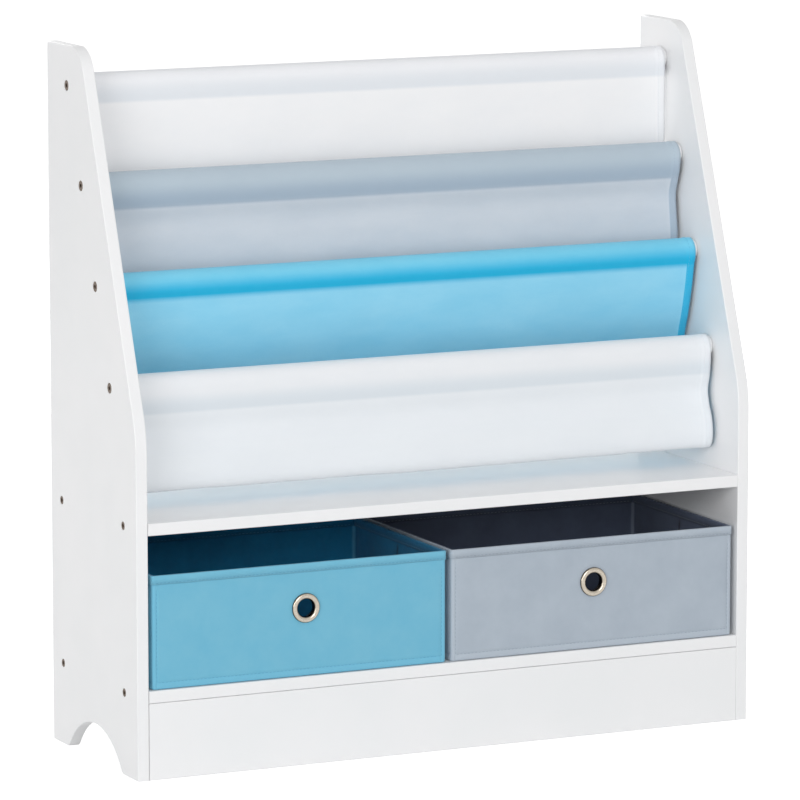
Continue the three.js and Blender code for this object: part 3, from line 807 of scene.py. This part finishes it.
cover_low, cover_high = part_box("left_box_cover")
HALF_X, HALF_Y = (cover_high.x - cover_low.x) / 2 / MM, (cover_high.y - cover_low.y) / 2 / MM
CREASE_Y = (cover_high.y + cover_low.y) / 2 / MM
BAY_MIDDLE = 158
BOX_LOW, RIM_TOP = cover_low.z / MM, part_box("left_box_rim_binding")[1].z / MM
CORNER = 3
EYELET_Z, EYELET_HOLE, EYELET_PATCH = 154, 10.2, 13
SEAM_IN, SEAM_UP = 4.6, 6.5
SEAM_SCORES, FOLD_SCORES = (-0.9, -0.4, 0, 0.4, 0.9), (-2.4, -1.2, -0.5, 0, 0.5, 1.2, 2.4)
COVER_DEEP, LINING_DEEP, RIM_OUT, BASE_IN = 0.3, 2.9, 0.4, 4.3
BASE_BOTTOM, BASE_TOP = 89.1, 91.9
COVER_THICK, LINING_THICK, BINDING_THICK = 0.6 * MM, 0.35 * MM, 0.6 * MM
# Each size: half the width, half the depth, the bottom and the top of a shell, from the middle of its box.
cover_size = (HALF_X - COVER_DEEP, HALF_Y - COVER_DEEP, BOX_LOW, RIM_TOP - 1)
lining_size = (HALF_X - LINING_DEEP, HALF_Y - LINING_DEEP, BOX_LOW + 1.4, RIM_TOP - 1)


def ring(bm, half_x, half_y, radius, z):
    """A level outline with rounded corners, round the middle of a box, in millimetres."""
    verts = bmesh.ops.create_circle(bm, segments=4, radius=math.sqrt(2) * MM)["verts"]
    bmesh.ops.rotate(bm, verts=verts, matrix=Matrix.Rotation(math.pi / 4, 3, "Z"))
    bmesh.ops.scale(bm, verts=verts, vec=(half_x, half_y, 1))
    bmesh.ops.translate(bm, verts=verts, vec=(0, 0, z * MM))
    return list({e for v in rounded(bm, verts, radius, 4, "VERTICES")["verts"] for e in v.link_edges})


def joined_up(bm, rings):
    """Walls from each level outline to the next."""
    for lower, upper in zip(rings, rings[1:]):
        bmesh.ops.bridge_loops(bm, edges=lower + upper)


def on_walls(bm):
    """Lays the fabric's pattern flat on each wall, upright on the sides and level on the floor."""
    laid = bm.loops.layers.uv.new("wall")
    bm.normal_update()
    for face in bm.faces:
        n = face.normal
        for loop in face.loops:
            x, y, z = loop.vert.co
            if abs(n.z) > 0.7:
                loop[laid].uv = (x, y)
            else:
                loop[laid].uv = (x, z) if abs(n.y) > abs(n.x) else (y, z)


def bump_at(value, middle, width):
    """1 at the middle, falling smoothly to nothing over about the width."""
    return math.exp(-((value - middle) / width) ** 2)


def evenly(reach, pitch):
    """Places from -reach to reach at an even pitch."""
    return [(i * pitch - reach) * MM for i in range(round(2 * reach / pitch) + 1)]


def box_shell(size, eye_x, bottom_round, grid):
    """An open shell, scored for bending, with the round hole for the eyelet in its front wall."""
    bm = bmesh.new()
    x, y, low, high = size
    rings = [ring(bm, x - bottom_round, y - bottom_round, CORNER - 0.5 * bottom_round, low),
             ring(bm, x - 0.3 * bottom_round, y - 0.3 * bottom_round, CORNER - 0.2 * bottom_round,
                  low + 0.3 * bottom_round),
             ring(bm, x, y, CORNER, low + bottom_round), ring(bm, x, y, CORNER, high)]
    joined_up(bm, rings)
    bmesh.ops.contextual_create(bm, geom=rings[0])
    bm.normal_update()
    for axis, middle in ((ACROSS, eye_x), (UPWARD, EYELET_Z)):
        for place in (middle - EYELET_PATCH, middle + EYELET_PATCH):
            near = [f for f in bm.faces if f.calc_center_median().y < -y * MM + 1e-5 and f.normal.y < -0.99]
            scored(bm, list({p for f in near for p in (*f.verts, *f.edges, f)}), axis, place * MM)
    hole_at(bm, Vector((eye_x, -y, EYELET_Z)) * MM, EYELET_HOLE, 28)
    for axis, half, more in ((ACROSS, x, ()), (BACKWARD, y, FOLD_SCORES)):
        seams = [sign * (half - SEAM_IN + d) for sign in (-1, 1) for d in SEAM_SCORES]
        count = round(2 * half / grid)
        level = [-half + 8 + i * (2 * half - 16) / count for i in range(count + 1)]
        sliced(bm, axis, [place * MM for place in (*seams, *level, *more)])
    count = round((high - low) / grid)
    level = [low + 9.5 + i * (high - low - 10) / count for i in range(count)]
    sliced(bm, UPWARD, [place * MM for place in [low + SEAM_UP + d for d in SEAM_SCORES] + level])
    bmesh.ops.remove_doubles(bm, verts=bm.verts, dist=TOUCHING)
    bmesh.ops.recalc_face_normals(bm, faces=bm.faces)
    return bm


def on_wall(v, x, y):
    """Where a point of a shell lies: its place in millimetres, its walls, and how far it is from a corner."""
    px, py, pz = v.co / MM
    front, side = abs(abs(py) - y) < 0.01, abs(abs(px) - x) < 0.01
    return px, py, pz, front, side, x - abs(px) if front else y - abs(py) if side else 0


def moved(moves):
    """Moves the points of a shell together, once all their moves are known."""
    for v, move in moves.items():
        v.co += move


def shaped_cover(bm, size, eye_x, seed):
    """Presses the sewn seams and creases into the cover, and lets the card show as a fuller panel."""
    x, y, low, high = size
    border = bm.verts.layers.float.new("border")
    bm.normal_update()
    moves = {}
    for v in bm.verts:
        px, py, pz, on_front, on_side, from_corner = on_wall(v, x, y)
        up = pz - low
        if up < 0.05 and not (on_front or on_side):
            continue
        seam = max(bump_at(from_corner, SEAM_IN, 0.75), bump_at(up, SEAM_UP, 0.75) if from_corner > 4 else 0)
        panel = eased(from_corner, 5, 16) * eased(up, 7, 20) * eased(high - 9 - pz, 0, 14)
        eye = eased(math.hypot(px - eye_x, pz - EYELET_Z), 14, 34) if on_front and py < 0 else 1
        wave = waves(px / 60, py / 60, pz / 34 + seed)
        ripple = waves(px / 14, py / 14, pz / 20 + seed)
        fold = bump_at(py, 0, 1.1) * (0.9 if on_side else 0) * eased(high - pz, 0, 6)
        near_seam = bump_at(from_corner, SEAM_IN, 5) + bump_at(up, SEAM_UP, 5)
        out = -0.5 * seam + panel * eye * (0.25 + 0.3 * wave) + 0.14 * ripple * near_seam * (1 - seam) - fold
        keep = eased(high - 7 - pz, 0, 9)
        moves[v] = v.normal * min(out, 0.45) * keep * MM
        v[border] = max(1 - eased(from_corner, 4.4, 4.9), 1 - eased(up, 6.3, 6.8))
    moved(moves)


def shaped_lining(bm, size, seed):
    """Lets the lining hang a little loose from the rim, with its corner seams and the crease of the fold."""
    x, y, low, high = size
    border, painted_crease_shade = (bm.verts.layers.float.new(name) for name in ("border", "fold"))
    bm.normal_update()
    moves = {}
    for v in bm.verts:
        px, py, pz, on_front, on_side, from_corner = on_wall(v, x, y)
        if not (on_front or on_side) and pz < low + 1:
            continue
        loose = eased(pz - low, 5, 30) * eased(high - 8 - pz, 0, 10) * eased(from_corner, 3, 18)
        wave = waves(px / 38 + pz / 50, py / 38 + pz / 50, pz / 46 + seed)
        small = waves(px / 16, py / 16, pz / 24 + seed)
        fold = bump_at(py, 0, 1.1) * (1.0 if on_side else 0) * eased(high - 7 - pz, 0, 6)
        tuck = bump_at(from_corner, 2.2, 1.2) * 0.5
        moves[v] = -v.normal * (loose * (0.9 + 0.9 * wave + 0.25 * small) + tuck - 0.15 * fold) * MM
        # Paler lines down the inner corners: partly the sewn corner seam, partly a painted highlight on its
        # ridge.
        v[border] = bump_at(from_corner, 0.8, 1.6) * 0.8
        # Painted shade down the crease of the fold in each side wall.
        v[painted_crease_shade] = bump_at(py, 0, 2.2) * (0.85 if on_side else 0) * eased(high - 9 - pz, 0, 3)
    moved(moves)


BOX_STITCH, BOX_STITCH_PITCH = 3.0, 4
RIM_STITCHES = 190.6


def walls(size):
    """The four walls of a box: half the width of each, how far out it is, its way out and its run."""
    x, y = size[:2]
    for half, reach, facing in ((x, y, BACKWARD), (y, x, ACROSS)):
        for sign in (-1, 1):
            yield half, reach, facing * sign, Vector((facing.y, facing.x, 0))


def level_row(wall, half, z, short, run, out):
    """A level row of stitches along a wall, at a height, that stops short of its corners."""
    count = int((2 * half - short) / BOX_STITCH_PITCH)
    return [((wall + run * (i - count / 2) * BOX_STITCH_PITCH + UPWARD * z) * MM, run, out)
            for i in range(count + 1)]


def cover_rows(size):
    """Rows of stitches along the cover's seams: up beside the corners and along the bottom of each wall."""
    low, high = size[2:]
    ups = [low + 8 + i * BOX_STITCH_PITCH for i in range(25)]
    rows = []
    for half, reach, out, run in walls(size):
        wall = out * (reach - 0.5 + STITCH_PROUD)
        for end in (-1, 1):
            rows.append([((wall + run * end * (half - SEAM_IN) + UPWARD * z) * MM, UPWARD, out)
                         for z in ups if z < high - 9])
        rows.append(level_row(wall, half, low + SEAM_UP, 12, run, out))
    return rows


def rim_rows(size, offset, side=1):
    """A row of stitches round the rim binding, a little above its lower edge, outside or (side -1) inside."""
    return [level_row(out * (reach + offset), half, RIM_STITCHES, 10, run, out * side)
            for half, reach, out, run in walls(size)]


def rim_mesh(seed):
    """The binding, folded over the rim, with a lower edge that wavers a little on both sides of the wall."""
    bm = bmesh.new()
    steps = [(0, -9), (0, -1.2), (0.15, -0.6), (0.6, -0.2), (1.3, 0), (1.7, 0), (3.45, -0.2), (3.9, -0.6),
             (4.05, -1.2), (4.05, -9)]
    rim_x, rim_y = HALF_X + RIM_OUT, HALF_Y + RIM_OUT
    joined_up(bm, [ring(bm, rim_x - d, rim_y - d, max(3.4 - d, 0.5), RIM_TOP + z) for d, z in steps])
    sliced(bm, ACROSS, evenly(150, 6))
    sliced(bm, BACKWARD, evenly(100, 6.25))
    on_walls(bm)
    # The top and the inner leg of the binding are marked for the darker tone, which is painted shade of the
    # box's inside.
    border = bm.verts.layers.float.new("border")
    for v in bm.verts:
        px, py, pz = v.co / MM
        v[border] = eased(min(rim_x - abs(px), rim_y - abs(py)), 1.2, 1.8)
        wobble = waves(px / 11, py / 11, seed)
        v.co.z += (0.3 * wobble if pz < 190 else 0.12 * wobble - 0.12) * MM
    return bm


def base_mesh(seed):
    """The loose base: a stiff card in the lining's fabric, hardly warped."""
    bm = bmesh.new()
    base_x, base_y = HALF_X - BASE_IN, HALF_Y - BASE_IN
    steps = [(1, BASE_BOTTOM), (0.3, 89.4), (0, 90), (0, 91), (0.3, 91.6), (1, BASE_TOP)]
    joined_up(bm, [ring(bm, base_x - d, base_y - d, max(2.5 - d, 0.4), z) for d, z in steps])
    for level in (BASE_BOTTOM, BASE_TOP):
        edges = [e for e in bm.edges if all(abs(v.co.z - level * MM) < TOUCHING for v in e.verts)]
        bmesh.ops.contextual_create(bm, geom=edges)
    sliced(bm, ACROSS, evenly(144, 12))
    sliced(bm, BACKWARD, evenly(96, 12))
    on_walls(bm)
    for v in bm.verts:
        px, py, _ = v.co / MM
        edge = min(base_x - abs(px), base_y - abs(py))
        v.co.z += 0.25 * waves(px / 40, py / 40, seed) * eased(edge, 2, 14) * MM
    return bm


def eyelet_mesh(wall):
    """The eyelet, pressed from sheet metal: a domed flange, and a barrel rolled over a washer inside."""
    bm = bmesh.new()
    profile = [(-0.3, 9.8), (4.9, 9.8), (4.9, 11.6), (5.3, 11.6), (5.7, 11.3), (5.9, 10.6), (5.8, 9.8),
               (5.4, 9.2), (4.7, 9.0), (0.2, 9.0), (-0.6, 9.05), (-1.2, 9.35), (-1.7, 9.9), (-2.05, 10.6),
               (-2.25, 11.3), (-2.3, 12.0), (-2.2, 12.8), (-1.95, 13.5), (-1.5, 14.1), (-0.9, 14.45),
               (-0.3, 14.5)]
    verts = [bm.verts.new(wall + Vector((radius, depth, 0)) * MM) for depth, radius in profile]
    edges = [bm.edges.new(pair) for pair in zip(verts, verts[1:] + verts[:1])]
    bmesh.ops.spin(bm, geom=verts + edges, cent=wall, axis=BACKWARD, angle=2 * math.pi, steps=48,
                   use_merge=True)
    # Painted shade and dark reflection at the flange's outer edge and the bore's lip.
    painted_rim_shade = bm.verts.layers.float.new("painted_rim_shade")
    for v in bm.verts:
        radius = math.hypot(v.co.x - wall.x, v.co.z - wall.z) / MM
        v[painted_rim_shade] = max(eased(radius, 13.6, 14.4), 1 - eased(radius, 9.2, 10.2))
    return bm


def fabric_box(side, middle_x, eye_x, fabric, inside, rim_fabric, yarn, seed):
    """Sews one box together round its cards; everything is made round the origin and then set in its bay."""
    body = f"{side}_box"
    prefix = body + "_"
    in_bay = Vector((middle_x * MM, CREASE_Y * MM, 0))

    def set_in_bay(name, node, bm, material, smooth_below=50):
        bmesh.ops.translate(bm, verts=bm.verts, vec=in_bay)
        return finished(prefix + name, bm, material, body, [prefix + node], smooth_below)

    cover = box_shell(cover_size, eye_x, bottom_round=1.2, grid=9)
    on_walls(cover)
    shaped_cover(cover, cover_size, eye_x, seed)
    thickened(set_in_bay("outer_cover", "cover", cover, fabric), COVER_THICK, -1)

    lining = box_shell(lining_size, eye_x, bottom_round=1.0, grid=7)
    on_walls(lining)
    shaped_lining(lining, lining_size, seed + 5)
    thickened(set_in_bay("inner_lining", "lining", lining, inside), LINING_THICK, 1)

    rim = rim_mesh(seed + 30)
    thickened(set_in_bay("bound_rim", "rim_binding", rim, rim_fabric, 60), BINDING_THICK, -1)

    rows = cover_rows(cover_size) + rim_rows(cover_size, 0.75) + rim_rows(lining_size, -0.8, -1)
    rows = [[(point + in_bay, run, out) for point, run, out in row] for row in rows]
    stitched(rows, prefix + "stitches", yarn, body, BOX_STITCH)

    set_in_bay("base", "base_insert", base_mesh(seed), inside)
    eyelet = eyelet_mesh(Vector((middle_x + eye_x, CREASE_Y - HALF_Y, EYELET_Z)) * MM)
    finished(prefix + "finger_eyelet", eyelet, nickel, body, [prefix + "eyelet"], 40)
    for name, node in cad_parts.items():
        if name.startswith(prefix) and (name.endswith("washer") or "card" in name):
            given(node, nickel if name.endswith("washer") else greyboard)


blue_felt = felted("blue_felt", "#6FB9D5", "#79BED7", "#74BDD9")
# The linings are in their own deeper colours, darkened further as painted shade of the bay. The last tone of
# each lining is painted shade in the crease of its fold.
shaded_blue_lining = felted("shaded_blue_lining_felt", "#0E7DAB", "#0A6C98", "#5FA8C8", "#06425E")
# Each rim's last tone, on the binding's top and inner leg, is painted shade of the box's inside.
blue_rim = felted("blue_rim_felt", "#72BCD8", "#79BED7", "#0C75A2")
blue_box_thread = thread("blue_box_thread", "#62AACB", "#4F9BC0")
grey_felt = felted("grey_felt", "#B3BEC9", "#ABB6C2", "#B5C0CB")
# Darkened as painted shade of the bay, like the blue lining.
shaded_grey_lining = felted("shaded_grey_lining_felt", "#5B667D", "#525C72", "#8A94A4", "#2A2F3B")
grey_rim = felted("grey_rim_felt", "#B5C0CB", "#ADB8C4", "#566178")
grey_box_thread = thread("grey_box_thread", "#9DAAB8", "#8C9AA9")
fabric_box("left", -BAY_MIDDLE, 5, blue_felt, shaded_blue_lining, blue_rim, blue_box_thread, 11.3)
fabric_box("right", BAY_MIDDLE, 0, grey_felt, shaded_grey_lining, grey_rim, grey_box_thread, 47.9)


# Floor, lights and camera
# Matt white paper on the floor, large soft lights from the front and the left with a weaker one behind, and
# the camera where the photograph's was.
WHITE = (1, 1, 1, 1)
PAPER_GLOW, ROOM_LIGHT = 0.68, 0.55
FOCAL_LENGTH, SENSOR_WIDTH = 255.24, 36
CAMERA_PLACE = (-2.3659, -4.9847, 1.2089)
CAMERA_YAW, CAMERA_PITCH = math.radians(25.364), math.radians(9.042)


def seen(tree):
    """1 where the camera sees the surface, straight or in gloss, and 0 where it only lights others."""
    rays = put(tree, "ShaderNodeLightPath").outputs
    return sum_of(tree, "MAXIMUM", rays["Is Camera Ray"],
                  sum_of(tree, "MAXIMUM", rays["Is Glossy Ray"], rays["Is Transmission Ray"]))


def floor_finish():
    """Matt white paper that shows as white to the camera but keeps the object's shadow."""
    material = bpy.data.materials.new("white_paper")
    material.use_nodes = True
    tree = material.node_tree
    shader = tree.nodes["Principled BSDF"]
    shader.inputs["Base Color"].default_value = tone("#E4E4E4")
    shader.inputs["Roughness"].default_value = 0.9
    shader.inputs["Emission Color"].default_value = WHITE
    tree.links.new(sum_of(tree, "MULTIPLY", seen(tree), PAPER_GLOW), shader.inputs["Emission Strength"])
    return material


def aimed(thing, place, direction):
    """Sets a lamp or the camera in its place, facing a direction."""
    thing.location = place
    thing.rotation_mode = "QUATERNION"
    thing.rotation_quaternion = direction.to_track_quat("-Z", "Y")


bm = bmesh.new()
bmesh.ops.create_circle(bm, segments=64, radius=60, cap_ends=True)
mesh = bpy.data.meshes.new("studio_floor")
bm.to_mesh(mesh)
bm.free()
mesh.materials.append(floor_finish())
studio_floor = added("studio_floor", mesh)

world = bpy.data.worlds.new("studio")
bpy.context.scene.world = world
world.use_nodes = True
tree = world.node_tree
room = tree.nodes["Background"]
room.inputs["Color"].default_value = WHITE
tree.links.new(ranged(tree, seen(tree), 0, 1, ROOM_LIGHT, 1.0), room.inputs["Strength"])


def soft_light(name, watts, size, place, aim):
    """A soft box of a width and height, from its place towards a point."""
    lamp = bpy.data.lights.new(name, "AREA")
    lamp.shape, lamp.size, lamp.size_y, lamp.energy = "RECTANGLE", *size, watts
    aimed(added(name, lamp), place, Vector(aim) - Vector(place))


soft_light("front_light", 104, (3.4, 2.3), (-1.15, -6.0, 2.7), (0, 0, 0.35))
soft_light("left_light", 88, (3.2, 2.2), (-4.6, -3.9, 1.5), (0, 0, 0.35))
soft_light("rear_light", 36, (1.4, 1.4), (0, 3.2, 1.1), (0, 0, 0.3))

lens = bpy.data.cameras.new("camera")
lens.lens, lens.sensor_width, lens.clip_end = FOCAL_LENGTH, SENSOR_WIDTH, 200
camera = added("camera", lens)
level = math.cos(CAMERA_PITCH)
looking = Vector((math.sin(CAMERA_YAW) * level, math.cos(CAMERA_YAW) * level, -math.sin(CAMERA_PITCH)))
aimed(camera, CAMERA_PLACE, looking)
bpy.context.scene.camera = camera
bpy.context.scene.view_settings.view_transform = "Standard"
